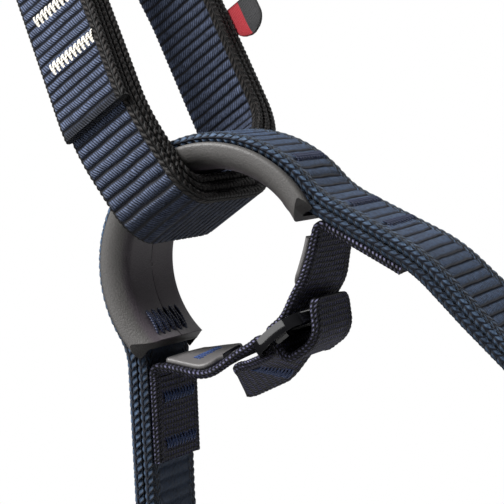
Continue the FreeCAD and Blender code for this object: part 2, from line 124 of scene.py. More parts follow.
class Webbing:
    """A flat woven strip that follows a line. Places on it are given by the distance along it, the
    distance across it and the height above its middle, in millimetres."""

    def __init__(self, line, width, thick, offset=0.0, across=Vector((0, 1, 0)), tilt=0.0,
                 twist=None, sway=None, slant=None, start=0.0, stop=None):
        self.line, self.width, self.thick, self.offset = line, width, thick, offset
        self.slant = slant
        self.across, self.tilt = across, Matrix.Rotation(math.radians(tilt), 3, "Y")
        self.twist, self.sway = twist or (lambda s: 0.0), sway or (lambda s: 0.0)
        self.start, self.stop = start, line.length if stop is None else stop

    def frame_at(self, along):
        u, v, heading = self.line.at(along)
        a = math.radians(heading)
        along_u = Vector((0, 1, 0)) if self.across.x else Vector((1, 0, 0))
        up = along_u * -math.sin(a) + Vector((0, 0, math.cos(a)))
        middle = along_u * u + Vector((0, 0, v)) + self.across * self.sway(along)
        t = math.radians(self.twist(along))
        side = self.across * math.cos(t) + up * math.sin(t)
        up = up * math.cos(t) - self.across * math.sin(t)
        return middle, side, up

    def spot(self, along, across, height):
        middle, side, up = self.frame_at(along)
        return self.tilt @ (middle + side * across + up * (self.offset + height)) * 0.001

    def places(self, pitch):
        """Distances along the line that are evenly spaced on the strip itself, where a bend spreads
        or crowds them, each with its distance along the strip."""
        fine = max(8, round((self.stop - self.start) / 0.1))
        found, own, last = [(self.start, self.start)], self.start, None
        for i in range(fine + 1):
            s = self.start + (self.stop - self.start) * i / fine
            middle, side, up = self.frame_at(s)
            here = middle + up * self.offset
            own += (here - last).length if last else 0.0
            last = here
            if own - found[-1][1] >= pitch:
                found.append((s, own))
        if own - found[-1][1] < pitch / 2 and len(found) > 1:
            found.pop()
        return found + [(self.stop, own)]

    def mesh(self, name, relief, edge, closed=False, pitch=0.3, columns=26, narrow=None, crown=0.0):
        """A dense closed mesh of the strip. relief(s, w, face) and edge(s, sign) are heights."""
        half, deep = self.width / 2, self.thick / 2
        bend = deep * 0.9
        places = self.places(pitch)
        rows = len(places) - 1
        flat = [(half - bend) * (2 * i / columns - 1) for i in range(columns + 1)]
        turn = [math.radians(d) for d in (30, 60, 90, 120, 150)]
        ring = [(w, deep, 0, 1, w) for w in flat]
        ring += [(half - bend, 0, math.sin(t), math.cos(t), half - bend + bend * t) for t in turn]
        ring += [(w, -deep, 0, -1, w) for w in reversed(flat)]
        ring += [(bend - half, 0, -math.sin(t), -math.cos(t), bend - half - bend * t) for t in turn]
        points, size = [], len(ring)
        for s, own in places[:rows] if closed else places:
            middle, side, up = self.frame_at(s)
            share = narrow(s) if narrow else 1.0
            beads = {1: bend + edge(own, 1), -1: bend + edge(own, -1)}
            for w, h, out, lift, _ in ring:
                bulge = crown * (1 - (w / half) ** 2)
                if self.slant:
                    middle, side, up = self.frame_at(min(self.line.length, s + self.slant(s) * w / half))
                if out:
                    sign = 1 if out > 0 else -1
                    w, h = w + beads[sign] * out, (beads[sign] + deep - bend) * lift
                else:
                    h += relief(own, w, lift) * lift
                points.append(self.tilt @ (middle + side * w * share + up * (self.offset + h + bulge))
                              * 0.001)
        faces, marks = [], []
        for r in range(rows):
            s0, s1 = places[r][1], places[r + 1][1]
            below, above = r * size, ((r + 1) % rows if closed else r + 1) * size
            for c in range(size):
                d = (c + 1) % size
                faces.append((below + c, below + d, above + d, above + c))
                u0, u1 = ring[c][4], ring[d][4]
                if abs(u1 - u0) > half:
                    u1 = u0
                marks += [(u0, s0), (u1, s0), (u1, s1), (u0, s1)]
        if not closed:
            for base, s, order in ((0, self.start, range(size)),
                                   (rows * size, self.stop, range(size - 1, -1, -1))):
                faces.append([base + c for c in order])
                marks += [(ring[c][4], s) for c in order]
        data = bpy.data.meshes.new(name)
        data.from_pydata(points, [], faces)
        layer = data.uv_layers.new(name="weave")
        layer.data.foreach_set("uv", [x for mark in marks for x in mark])
        data.polygons.foreach_set("use_smooth", [True] * len(data.polygons))
        data.update()
        piece = bpy.data.objects.new(name, data)
        bpy.context.collection.objects.link(piece)
        return piece


def rib_relief(half, pitch, depth, border, plain_side=0.0):
    """Ribs across the webbing that run out where its woven edge begins. The woven edge of its left
    side is narrower by plain_side."""
    def relief(s, w, face):
        rib = depth * (abs(math.sin(math.pi * s / pitch)) ** 0.55 - 0.6)
        reach = max(w, -w - plain_side) - half + border
        row = abs(reach % 2.4 - 1.2)
        chain = 0.24 * abs(math.sin(math.pi * (s - 1.1 * row) / 1.55)) * min(1, row / 0.3)
        share = min(1.0, max(0.0, reach / 0.5))
        return rib * (1 - share) + (chain - 0.03) * share
    return relief


def chain_edge(depth, pitch):
    def edge(s, sign):
        return depth * (abs(math.sin(math.pi * (s / pitch + 0.25 * sign))) - 0.5)
    return edge


def new_material(name, roughness, sheen=0.0, **sockets):
    material = bpy.data.materials.new(name)
    material.use_nodes = True
    tree = material.node_tree
    shader = tree.nodes["Principled BSDF"]
    shader.inputs["Roughness"].default_value = roughness
    shader.inputs["Sheen Weight"].default_value = sheen
    shader.inputs["Sheen Roughness"].default_value = 0.4
    for socket, value in sockets.items():
        shader.inputs[socket.replace("_", " ")].default_value = value
    return material, tree, shader


def calc(tree, kind, *values, clamp=False):
    node = tree.nodes.new("ShaderNodeMath")
    node.operation, node.use_clamp = kind, clamp
    for socket, value in zip(node.inputs, values):
        if isinstance(value, (int, float)):
            socket.default_value = value
        else:
            tree.links.new(value, socket)
    return node.outputs[0]


def wave(tree, phase):
    """A row of round ridges, one for each whole number of the phase."""
    return calc(tree, "ABSOLUTE", calc(tree, "SINE", calc(tree, "MULTIPLY", phase, math.pi)))


def blend_colour(tree, share, one, other):
    node = tree.nodes.new("ShaderNodeMix")
    node.data_type = "RGBA"
    for socket, value in ((node.inputs[0], share), (node.inputs[6], one), (node.inputs[7], other)):
        if isinstance(value, tuple):
            socket.default_value = (*value, 1)
        elif isinstance(value, (int, float)):
            socket.default_value = value
        else:
            tree.links.new(value, socket)
    return node.outputs[2]


def step_up(tree, value, low, high):
    node = tree.nodes.new("ShaderNodeMapRange")
    node.interpolation_type = "SMOOTHSTEP"
    tree.links.new(value, node.inputs[0])
    node.inputs[1].default_value, node.inputs[2].default_value = low, high
    return node.outputs[0]


def mottle(tree, scale, detail=2.0):
    node = tree.nodes.new("ShaderNodeTexNoise")
    node.inputs["Scale"].default_value, node.inputs["Detail"].default_value = scale, detail
    place = tree.nodes.new("ShaderNodeTexCoord")
    tree.links.new(place.outputs["Object"], node.inputs["Vector"])
    return node.outputs[0]


def weave_places(tree):
    """Distances across and along the strip, in millimetres."""
    chart = tree.nodes.new("ShaderNodeUVMap")
    chart.uv_map = "weave"
    split = tree.nodes.new("ShaderNodeSeparateXYZ")
    tree.links.new(chart.outputs[0], split.inputs[0])
    return split.outputs[0], split.outputs[1]


def raise_threads(tree, shader, height, depth):
    bump = tree.nodes.new("ShaderNodeBump")
    bump.inputs["Strength"].default_value = 1.0
    bump.inputs["Distance"].default_value = depth
    tree.links.new(height, bump.inputs["Height"])
    tree.links.new(bump.outputs[0], shader.inputs["Normal"])


def ribbed_webbing(name, half, pitch, light, dark, edge_light, edge_dark, border, ribs=1.0,
                   plain_side=0.0, end=None):
    """Ribs of fine slanting threads, and rows of chain stitches down both edges. The webbing is
    darkened at the distance given as its end: partly its melted end, partly painted shade of the step it
    makes."""
    material, tree, shader = new_material(name, 0.62, sheen=0.03, Specular_IOR_Level=0.22)
    across, along = weave_places(tree)
    drift = calc(tree, "SUBTRACT", mottle(tree, 180), 0.5)
    rib = wave(tree, calc(tree, "MULTIPLY_ADD", drift, 0.3, calc(tree, "DIVIDE", along, pitch)))
    rib = calc(tree, "MULTIPLY_ADD", rib, ribs, 1 - ribs)
    slant = calc(tree, "MULTIPLY_ADD", along, 0.42 * ribs, across)
    slant = calc(tree, "MULTIPLY_ADD", drift, 1.4, slant)
    thread = wave(tree, calc(tree, "DIVIDE", slant, 0.54))
    crest = step_up(tree, rib, 0.18, 0.78)
    stroke = step_up(tree, thread, 0.2, 0.85)
    uneven = step_up(tree, mottle(tree, 1300, 3.0), 0.3, 0.7)
    shade = calc(tree, "MULTIPLY", crest, calc(tree, "MULTIPLY_ADD", stroke, 0.8, 0.2))
    shade = calc(tree, "MULTIPLY", shade, calc(tree, "MULTIPLY_ADD", uneven, 0.65, 0.5), clamp=True)
    other_side = calc(tree, "MULTIPLY_ADD", across, -1.0, -plain_side)
    reach = calc(tree, "MAXIMUM", across, other_side)
    row = calc(tree, "PINGPONG", calc(tree, "SUBTRACT", reach, half - border + 1.2), 1.2)
    chain = wave(tree, calc(tree, "DIVIDE", calc(tree, "SUBTRACT", along, calc(tree, "MULTIPLY", row, 1.1)),
                            1.55))
    split = calc(tree, "MULTIPLY", step_up(tree, row, 0.04, 0.3),
                 calc(tree, "SUBTRACT", 1.0, step_up(tree, row, 0.95, 1.2)))
    loops = calc(tree, "MULTIPLY", step_up(tree, chain, 0.3, 0.85), split)
    loops = calc(tree, "MULTIPLY", loops, calc(tree, "MULTIPLY_ADD", uneven, 0.7, 0.4), clamp=True)
    border_share = step_up(tree, reach, half - border - 0.12, half - border + 0.12)
    body = blend_colour(tree, shade, dark, light)
    rim = blend_colour(tree, loops, edge_dark, edge_light)
    colour = blend_colour(tree, border_share, body, rim)
    darkening = calc(tree, "MULTIPLY_ADD", mottle(tree, 60, 4.0), 0.6, 0.66, clamp=True)
    if end is not None:
        # Painted shade: the first couple of millimetres past the end are darkened, partly for a melted end
        # and partly for the shade at the step the lap makes.
        melted_end_and_painted_shade = step_up(tree, calc(tree, "SUBTRACT", along, end), 1.0, 2.4)
        darkening = calc(tree, "MULTIPLY", darkening, calc(tree, "MULTIPLY_ADD", melted_end_and_painted_shade, 0.85, 0.15))
    tree.links.new(blend_colour(tree, darkening, (0, 0, 0), colour), shader.inputs["Base Color"])
    body_high = calc(tree, "MULTIPLY_ADD", calc(tree, "MULTIPLY", thread, crest), 0.55,
                     calc(tree, "MULTIPLY", calc(tree, "POWER", rib, 0.6), 0.9))
    rim_high = calc(tree, "MULTIPLY", calc(tree, "POWER", chain, 0.7), split)
    low = calc(tree, "MULTIPLY", body_high, calc(tree, "SUBTRACT", 1.0, border_share))
    raise_threads(tree, shader, calc(tree, "MULTIPLY_ADD", rim_high, border_share, low), 0.0004)
    return material


belay_width, belay_layer, belay_step, belay_tilt, rightwards = 16.4, 1.85, 1.91, -2.6, Vector((1, 0, 0))
belay_half, belay_pitch, belay_border, narrower_left = belay_width / 2, 2.35, 2.0, 1.7
belay_colours = (0.09, 0.115, 0.19), (0.0008, 0.0012, 0.004), (0.016, 0.013, 0.012), (0.001, 0.001, 0.001)
belay_cloth = ribbed_webbing("belay_webbing", belay_half, belay_pitch, *belay_colours, belay_border,
                              plain_side=narrower_left)
belay_line = rounded_line([(-12.0, 16.5, 2.2), (-12.0, 31.6, 26), (18.9, 101, 12), (52.9, 100, 12),
                           (45, 63, 60), (33, 30, 13), (12.6, 16.5, 11)], closed=True)
belay_ribs = rib_relief(belay_half, belay_pitch, 0.32, belay_border, narrower_left)
belay_edge = chain_edge(0.22, 1.2)
for turn, belay_name in enumerate(("belay_turn_inner", "belay_turn_middle", "belay_turn_outer")):
    layer = Webbing(belay_line, belay_width - 0.3 - 0.15 * turn, 1.7, turn * belay_step + belay_layer / 2,
                    across=rightwards, tilt=belay_tilt,
                    sway=lambda s, turn=turn: 0.12 * math.sin(s / 17 + 2.1 * turn))
    piece = layer.mesh(belay_name + "_cloth", belay_ribs, belay_edge, closed=True)
    piece.data.materials.append(belay_cloth)
    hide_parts(belay_name)
    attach(piece, "belay_loop")

lap_start, lap_length = 14.5, 52
lap = Webbing(belay_line, belay_width - 0.1, 1.75, 3 * belay_step + belay_layer / 2, across=rightwards,
              tilt=belay_tilt, start=lap_start, stop=lap_start + lap_length)
piece = lap.mesh("belay_lap_cloth", belay_ribs, belay_edge)
# The lap's end is darkened: a melted end, and painted shade of the step where the lap ends.
lap_cloth = ribbed_webbing("belay_webbing_end", belay_half, belay_pitch, *belay_colours, belay_border,
                           plain_side=narrower_left, end=lap_start)
piece.data.materials.append(lap_cloth)
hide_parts("belay_lap_end")
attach(piece, "belay_loop")


def thread_material(name, colour):
    """Bonded sewing thread, laid up from finer strands."""
    material, tree, shader = new_material(name, 0.5, sheen=0.03, Specular_IOR_Level=0.3)
    across, along = weave_places(tree)
    ply = wave(tree, calc(tree, "ADD", calc(tree, "MULTIPLY", along, 1.6),
                          calc(tree, "MULTIPLY", across, 2.0)))
    shade = calc(tree, "MULTIPLY_ADD", calc(tree, "MULTIPLY", ply, mottle(tree, 500)), 1.1, 0.35,
                 clamp=True)
    tree.links.new(blend_colour(tree, shade, tuple(c * 0.35 for c in colour), colour),
                   shader.inputs["Base Color"])
    raise_threads(tree, shader, ply, 0.00008)
    return material


def sew(name, strip, tacks, height, radius, gap, material, side=1):
    """Bar tacks: rows of slanting stitches that dive into the webbing at both ends.
    A tack is (distance along, middle across, length across, width of the zigzag)."""
    points, faces, marks = [], [], []
    for t, (along, middle, length, band) in enumerate(tacks):
        count = max(2, round(length / gap))
        for i in range(count):
            w0 = middle - length / 2 + length * i / count
            lean = gap * (0.42 if i % 2 else -0.42)
            wob = 0.12 * math.sin(7.3 * i + 2.9 * t)
            first = len(points)
            for k in range(7):
                x = k / 6
                w = w0 + gap / 2 + lean * (2 * x - 1)
                s = along + (x - 0.5) * (band + wob) + 0.3 * wob
                h = height + radius * (2.1 * math.sin(math.pi * x) ** 0.6 - 1.2)
                for j in range(6):
                    a = math.radians(60 * j)
                    points.append(strip.spot(s, w + radius * math.cos(a),
                                             side * (h + 0.8 * radius * math.sin(a))))
            for k in range(6):
                for j in range(6):
                    a, b = first + 6 * k + j, first + 6 * k + (j + 1) % 6
                    faces.append((a, b, b + 6, a + 6) if side > 0 else (b, a, a + 6, b + 6))
                    v = k * band / 6
                    w = v + band / 6
                    marks += [(j / 6, v), ((j + 1) / 6, v), ((j + 1) / 6, w), (j / 6, w)]
            for base in (first, first + 36):
                faces.append([base + j for j in range(6)])
                marks += [(0, 0)] * 6
    data = bpy.data.meshes.new(name)
    data.from_pydata(points, [], faces)
    data.uv_layers.new(name="weave").data.foreach_set("uv", [x for mark in marks for x in mark])
    data.polygons.foreach_set("use_smooth", [True] * len(data.polygons))
    data.materials.append(material)
    piece = bpy.data.objects.new(name, data)
    bpy.context.collection.objects.link(piece)
    return piece


white_thread = thread_material("thread_white", (0.78, 0.74, 0.66))
piece = sew("lap_stitching", lap, [(lap_start + step, 0.6, 11.6, 3.0) for step in (15, 27.5, 40)],
            1.1, 0.25, 0.58, white_thread)
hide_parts("belay_lap_tacks")
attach(piece, "belay_loop")

# ---------------------------------------------------------------- side label
# A small woven label at the edge of the rear leg. One half is red, one black, and its lower
# corners are rounded.
label_material, tree, shader = new_material("label", 0.6, sheen=0.1)
across, along = weave_places(tree)
grain = calc(tree, "MULTIPLY", wave(tree, calc(tree, "DIVIDE", across, 0.35)),
             wave(tree, calc(tree, "DIVIDE", along, 0.3)))
label_half = step_up(tree, across, -0.5, -0.2)
label_colour = blend_colour(tree, label_half, (0.42, 0.006, 0.018), (0.012, 0.012, 0.014))
tree.links.new(blend_colour(tree, calc(tree, "MULTIPLY_ADD", grain, 0.4, 0.6), (0, 0, 0), label_colour),
               shader.inputs["Base Color"])
raise_threads(tree, shader, grain, 0.0001)
label_start = 0.663 * belay_line.length
label_aside = belay_half + 2.8
label = Webbing(belay_line, 7.8, 0.7, 3 * belay_step + 0.45, across=rightwards, tilt=belay_tilt,
                sway=lambda s: label_aside, start=label_start, stop=label_start + 9)
piece = label.mesh("side_label", lambda s, w, f: 0.0, lambda s, e: 0.0, columns=10, pitch=0.5,
                   narrow=lambda s: math.sqrt(max(0.02, 1 - max(0.0, (s - label_start - 5) / 4) ** 2)))
piece.data.materials.append(label_material)
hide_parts("side_tag")
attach(piece, "belay_loop")

# ---------------------------------------------------------------- guard
# A channel moulded in dark grey nylon with a fine matt skin. Its two mould halves meet in a line
# down the middle of the inner face, which also carries the gate mark. The strap is sewn into it.
guard_inner, guard_floor, guard_rim, guard_half, guard_lip = 18.8, 21.2, 24.0, 11.6, 9.7
guard_left_end, guard_right_end = 106, 94
guard_first, guard_last = -math.radians(guard_left_end), math.radians(guard_right_end)


def arc_points(y, r, radius, first, last, count=8):
    return [(y + radius * math.cos(a), r + radius * math.sin(a)) for a in
            (math.radians(first + (last - first) * i / count) for i in range(count + 1))]


half_section = [(0.0, guard_inner + 0.16), (0.1, guard_inner + 0.03), (0.3, guard_inner), (2.5, guard_inner),
                (5.0, guard_inner)]
mouth = 4
half_section += arc_points(guard_half - mouth, guard_inner + mouth, mouth, -90, 0, 12)
half_section += arc_points(guard_half - 0.8, guard_rim - 0.8, 0.8, 0, 90, 5)
half_section += arc_points(guard_lip + 0.6, guard_rim - 0.6, 0.6, 90, 180, 4)
half_section += arc_points(guard_lip - 0.6, guard_floor + 0.6, 0.6, 0, -90, 4)
half_section += [(5.0, guard_floor), (0.0, guard_floor)]
section = half_section + [(-y, r) for y, r in reversed(half_section[1:-1])]
guard_points, guard_faces, guard_marks = [], [], []
guard_rows, guard_corner = 150, 3.2
for row in range(guard_rows + 1):
    for y, r in section:
        corner = max(0.0, abs(y) - (guard_half - guard_corner))
        inset = guard_corner - math.sqrt(max(0.0, guard_corner ** 2 - corner ** 2))
        low, high = guard_first + inset / r, guard_last - inset / r
        a = low + (high - low) * row / guard_rows
        guard_points.append((0.001 * r * math.sin(a), 0.001 * y, 0.001 * r * math.cos(a)))
for row in range(guard_rows):
    for i, (y, r) in enumerate(section):
        j = (i + 1) % len(section)
        a, b = row * len(section), (row + 1) * len(section)
        guard_faces.append((a + i, b + i, b + j, a + j))
        for point, place in ((i, row), (i, row + 1), (j, row + 1), (j, row)):
            guard_marks.append((section[point][0], section[point][1] + 100 * place / guard_rows))
size = len(section)
guard_faces += [list(range(size)), [guard_rows * size + i for i in range(size - 1, -1, -1)]]
guard_marks += [(y, r) for y, r in section] + [(y, r + 100) for y, r in reversed(section)]
data = bpy.data.meshes.new("guard_shell")
data.from_pydata(guard_points, [], guard_faces)
data.uv_layers.new(name="weave").data.foreach_set("uv", [x for mark in guard_marks for x in mark])
data.polygons.foreach_set("use_smooth", [True] * len(data.polygons))
guard = bpy.data.objects.new("guard_shell", data)
bpy.context.collection.objects.link(guard)
soften = guard.modifiers.new("broken_edges", "BEVEL")
soften.width, soften.segments, soften.limit_method = 0.0009, 4, "ANGLE"
soften.angle_limit, soften.harden_normals = math.radians(55), True

guard_plastic, tree, shader = new_material("guard_plastic", 0.5, Specular_IOR_Level=0.45)
across, along = weave_places(tree)
geometry = tree.nodes.new("ShaderNodeTexCoord")
split = tree.nodes.new("ShaderNodeSeparateXYZ")
tree.links.new(geometry.outputs["Object"], split.inputs[0])
radius = calc(tree, "SQRT", calc(tree, "ADD", calc(tree, "MULTIPLY", split.outputs[0], split.outputs[0]),
                                 calc(tree, "MULTIPLY", split.outputs[2], split.outputs[2])))
inner_share = calc(tree, "SUBTRACT", 1.0, step_up(tree, radius, 0.01895, 0.0202))
skin = blend_colour(tree, inner_share, (0.085, 0.081, 0.078), (0.09, 0.074, 0.088))
seam = calc(tree, "SUBTRACT", 1.0, step_up(tree, calc(tree, "ABSOLUTE", across), 0.06, 0.22))
seam = calc(tree, "MULTIPLY", seam, inner_share)
grain = mottle(tree, 3200, 2.0)
speck = calc(tree, "MULTIPLY_ADD", step_up(tree, grain, 0.3, 0.7), 0.28, 0.72)
skin = blend_colour(tree, calc(tree, "MULTIPLY", seam, 0.75), skin, (0.02, 0.018, 0.02))
tree.links.new(blend_colour(tree, speck, (0.02, 0.02, 0.02), skin), shader.inputs["Base Color"])
tree.links.new(calc(tree, "MULTIPLY_ADD", mottle(tree, 120), 0.2, 0.42), shader.inputs["Roughness"])
raise_threads(tree, shader, grain, 0.00009)
guard.data.materials.append(guard_plastic)
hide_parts("guard")
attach(guard, "tie_in_loop")

gate_points, gate_faces = [], []
gate_angle = math.radians(-58)
gate_rings = ((0.0, -0.10), (0.28, -0.12), (0.42, 0.03), (0.75, 0.03), (0.95, -0.14), (1.15, -0.2))
for reach, raised in gate_rings:
    for i in range(20):
        a = math.tau * i / 20
        r = guard_inner - raised
        swing = gate_angle + reach * math.sin(a) / guard_inner
        spot = Vector((r * math.sin(swing), reach * math.cos(a), r * math.cos(swing)))
        gate_points.append(spot * 0.001)
for ring in range(len(gate_rings) - 1):
    for i in range(20):
        j = (i + 1) % 20
        gate_faces.append((20 * ring + i, 20 * ring + j, 20 * ring + 20 + j, 20 * ring + 20 + i))
data = bpy.data.meshes.new("gate_mark")
data.from_pydata(gate_points, [], gate_faces)
data.uv_layers.new(name="weave")
data.polygons.foreach_set("use_smooth", [True] * len(data.polygons))
gate = bpy.data.objects.new("gate_mark", data)
bpy.context.collection.objects.link(gate)
gate.data.materials.append(guard_plastic)
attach(gate, "tie_in_loop")

# ---------------------------------------------------------------- structural strap
# Two layers of 20 mm steel-blue webbing lie in the guard and leave it as two legs, which bar tacks
# hold together. The woven edges are rows of chain stitches.
strap_layer, layer_gap, strap_half = 2.2, 0.06, 9.4
seam_radius = guard_floor + layer_gap + strap_layer + layer_gap / 2
leg_lean, droop_radius, droop = 31, 30, -17
left_run, left_flare, left_end = 27, 14, 15.5
strap_lead = Line(0, seam_radius, 0).bend(seam_radius, -90).bend(left_flare, leg_lean).run(left_run)
strap_lead.bend(droop_radius, droop).run(left_end)
strap_middle = strap_lead.length
leave_right = 80
strap_line = Line(-strap_lead.end[0], strap_lead.end[1], -strap_lead.end[2])
strap_line.run(left_end).bend(droop_radius, droop).run(left_run).bend(left_flare, leg_lean)
strap_line.bend(seam_radius, -90 - leave_right).bend(20, leg_lean + leave_right - 90)
strap_line.run(16).bend(droop_radius, droop).run(28)
strap_pitch, strap_border = 2.4, 3.1
strap_cloth = ribbed_webbing("strap_webbing", strap_half, strap_pitch, (0.06, 0.105, 0.2),
                             (0.0015, 0.003, 0.01), (0.075, 0.118, 0.19), (0.0015, 0.003, 0.008),
                             strap_border)
# The inner layer is the same webbing in darker colours, with its ribs faint: painted shade for the side that
# faces away from the light.
shaded_inner_cloth = ribbed_webbing("strap_webbing_inner_painted_shade", strap_half, strap_pitch, (0.03, 0.055, 0.11),
                              (0.0015, 0.003, 0.008), (0.045, 0.072, 0.12), (0.0015, 0.003, 0.008),
                              strap_border, ribs=0.15)
strap_ribs = rib_relief(strap_half, strap_pitch, 0.34, strap_border)
strap_edge = chain_edge(0.3, 1.55)


def strap_twist(s):
    """The legs turn a little as they leave the arch, the right one more than the left."""
    leg = max(0.0, abs(s - strap_middle) - 34) / 40
    return (7.5 if s > strap_middle else 2.0) * min(1.0, leg) ** 1.3


layer_middle = (strap_layer + layer_gap) / 2
for name, offset, node, cloth in (
        ("strap_outer_cloth", layer_middle, "strap_outer_layer", strap_cloth),
        ("strap_inner_cloth", -layer_middle, "strap_inner_layer", shaded_inner_cloth)):
    layer = Webbing(strap_line, 18.5, 2.0, offset, twist=strap_twist)
    piece = layer.mesh(name, strap_ribs, strap_edge, columns=32)
    piece.data.materials.append(cloth)
    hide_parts(node)
    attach(piece, "tie_in_loop")

strap = Webbing(strap_line, 2 * strap_half, 2 * strap_layer + layer_gap, twist=strap_twist)
tab_gap = 3
tab_start = {-1: seam_radius * math.radians(guard_left_end) + tab_gap,
             1: seam_radius * math.radians(guard_right_end) + tab_gap}
navy_thread = thread_material("thread_navy", (0.010, 0.017, 0.05))
for side, sign in (("left", -1), ("right", 1)):
    tacks = [(strap_middle + sign * (tab_start[sign] + step), 1.4, 12.6, 2.5) for step in (-13.5, 1, 9)]
    piece = sew("strap_stitching_" + side, strap, tacks, 2.25, 0.2, 0.6, navy_thread)
    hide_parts("strap_tacks_" + side)
    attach(piece, "tie_in_loop")

guard_face = Webbing(Line(0, guard_inner, 0).bend(guard_inner, -guard_right_end), 20, 0.1)
guard_face_left = Webbing(Line(0, guard_inner, 180).bend(guard_inner, guard_left_end), 20, 0.1)
for name, strip, face, node in (("guard_stitching_left", guard_face_left, 1, "guard_tack_left"),
                                ("guard_stitching_right", guard_face, -1, "guard_tack_right")):
    centre = strip.line.length - math.radians(12.5) * guard_inner
    piece = sew(name, strip, [(centre, -1.2, 12.6, 6.2)], 0.05, 0.36, 1.15, navy_thread, side=face)
    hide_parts(node)
    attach(piece, "tie_in_loop")

# ---------------------------------------------------------------- closing tape
# A thin plain-woven tape in dark navy with a beaded violet-grey edge. Its ends are sewn flat inside
# the strap legs with blue thread, and its two runs meet at the slider.
def plain_tape(name, half, light, dark, edge_light, edge_dark):
    """Rows of small slanting stitches, each row half a stitch on from the last, and beaded edges."""
    material, tree, shader = new_material(name, 0.7, sheen=0.02, Specular_IOR_Level=0.2)
    across, along = weave_places(tree)
    drift = calc(tree, "SUBTRACT", mottle(tree, 260), 0.5)
    row = calc(tree, "MULTIPLY_ADD", drift, 0.4, calc(tree, "DIVIDE", along, 1.05))
    shifted = calc(tree, "MULTIPLY_ADD", calc(tree, "FLOOR", row), 0.5,
                   calc(tree, "DIVIDE", calc(tree, "MULTIPLY_ADD", along, 0.4, across), 1.1))
    stitch = calc(tree, "MULTIPLY", calc(tree, "POWER", wave(tree, row), 0.55),
                  calc(tree, "POWER", wave(tree, shifted), 0.9))
    reach = calc(tree, "ABSOLUTE", across)
    line = calc(tree, "MULTIPLY_ADD", drift, 0.35,
                calc(tree, "DIVIDE", calc(tree, "SUBTRACT", reach, half - 2.1), 0.78))
    lean = calc(tree, "MULTIPLY_ADD", reach, 0.6, calc(tree, "MULTIPLY_ADD", drift, 0.7, along))
    bead_row = calc(tree, "MULTIPLY_ADD", calc(tree, "FLOOR", line), 0.5, calc(tree, "DIVIDE", lean, 0.86))
    bead = calc(tree, "MULTIPLY", calc(tree, "POWER", wave(tree, line), 0.5),
                calc(tree, "POWER", wave(tree, bead_row), 0.55))
    share = step_up(tree, reach, half - 2.2, half - 2.05)
    body = blend_colour(tree, step_up(tree, stitch, 0.45, 0.97), dark, light)
    rim = blend_colour(tree, step_up(tree, bead, 0.6, 1.0), edge_dark, edge_light)
    tint = blend_colour(tree, share, body, rim)
    darkening = calc(tree, "MULTIPLY", calc(tree, "MULTIPLY_ADD", mottle(tree, 90, 4.0), 0.7, 0.6, clamp=True),
                calc(tree, "MULTIPLY_ADD", step_up(tree, mottle(tree, 1100, 3.0), 0.35, 0.65), 0.7, 0.3))
    tree.links.new(blend_colour(tree, darkening, (0, 0, 0), tint), shader.inputs["Base Color"])
    low = calc(tree, "MULTIPLY", stitch, calc(tree, "SUBTRACT", 1.0, share))
    raise_threads(tree, shader, calc(tree, "MULTIPLY_ADD", bead, calc(tree, "MULTIPLY", share, 1.6), low),
                  0.00024)
    return material


def tape_relief(s, w, face):
    grow = min(1.0, max(0.0, (abs(w) - 6.7) / 0.4))
    return grow * (0.1 + 0.12 * abs(math.sin(math.pi * (s + 0.6 * abs(w)) / 0.86)))


tape_cloth = plain_tape("closing_tape", 8.9, (0.085, 0.086, 0.21), (0.0006, 0.0006, 0.0022),
                        (0.15, 0.147, 0.25), (0.001, 0.001, 0.003))
tape_edge, tape_width, tape_thick = chain_edge(0.16, 0.86), 17.6, 1.35
blue_thread = thread_material("thread_blue", (0.03, 0.065, 0.2))
tape_layer = 1.5
tab_depth = -(strap_layer + layer_gap / 2 + layer_gap + tape_layer / 2)


def round_end(stop, direction, radius, half):
    """Rounded corners where a strip ends."""
    def narrow(s):
        left = (stop - s) * direction
        if left >= radius:
            return 1.0
        return 1 - (radius - math.sqrt(max(0.0, radius ** 2 - (radius - left) ** 2))) / half
    return narrow


for side, sign in (("left", -1), ("right", 1)):
    top = strap_middle + sign * tab_start[sign]
    low, high = sorted((top, top + sign * 16.5))
    tab = Webbing(strap_line, tape_width, tape_thick, tab_depth, twist=strap_twist, start=low, stop=high)
    piece = tab.mesh("tape_tab_%s_cloth" % side, tape_relief, tape_edge, pitch=0.25)
    piece.data.materials.append(tape_cloth)
    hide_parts("tape_tab_" + side)
    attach(piece, "tie_in_loop")
    piece = sew("tab_stitching_" + side, tab, [(top + sign * step, 0.5, 12.4, 2.4) for step in (4, 13)],
                0.75, 0.2, 0.62, blue_thread, side=-1)
    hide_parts("tab_tacks_" + side)
    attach(piece, "tie_in_loop")

slider_lean, slider_x, slider_z = math.radians(5), 4.7, -17.4


def by_slider(along, up):
    """A point given along the slider and above its middle, in millimetres."""
    return (slider_x + along * math.cos(slider_lean) - up * math.sin(slider_lean),
            slider_z + along * math.sin(slider_lean) + up * math.cos(slider_lean))


bar_half, bar_left, bar_end, bar_gap = 1.2, 4.8, 1.4, 0.15
tape_up = bar_half + bar_gap + tape_layer / 2
drop_left, drop_right = -bar_left + bar_gap + tape_layer / 2, -bar_end - bar_gap - tape_layer / 2
runs = {}
for side, sign, waist, arrive, drop in (("left", -1, (-13.2, -14.6), -bar_left - 2.5, drop_left),
                                        ("right", 1, (14.4, -11.4), bar_left - 2.5, drop_right)):
    u, v, heading = strap_line.at(strap_middle + sign * tab_start[sign])
    a = math.radians(heading)
    u, v = u - tab_depth * math.sin(a), v + tab_depth * math.cos(a)
    fold = (u - sign * 2.24 * math.cos(a), v - sign * 2.24 * math.sin(a), 1.4)
    runs[side] = rounded_line([(u, v, 0), fold, (*waist, 9), (*by_slider(arrive, tape_up), 9),
                               (*by_slider(drop, tape_up), 1.1), (*by_slider(drop, 0), 0)])
run_twist = {"left": lambda s: 8 * math.sin(math.pi * min(1, max(0, s - 3) / 20)) ** 2,
             "right": lambda s: 4 * math.sin(math.pi * min(1, max(0, s - 6) / 18)) ** 2}
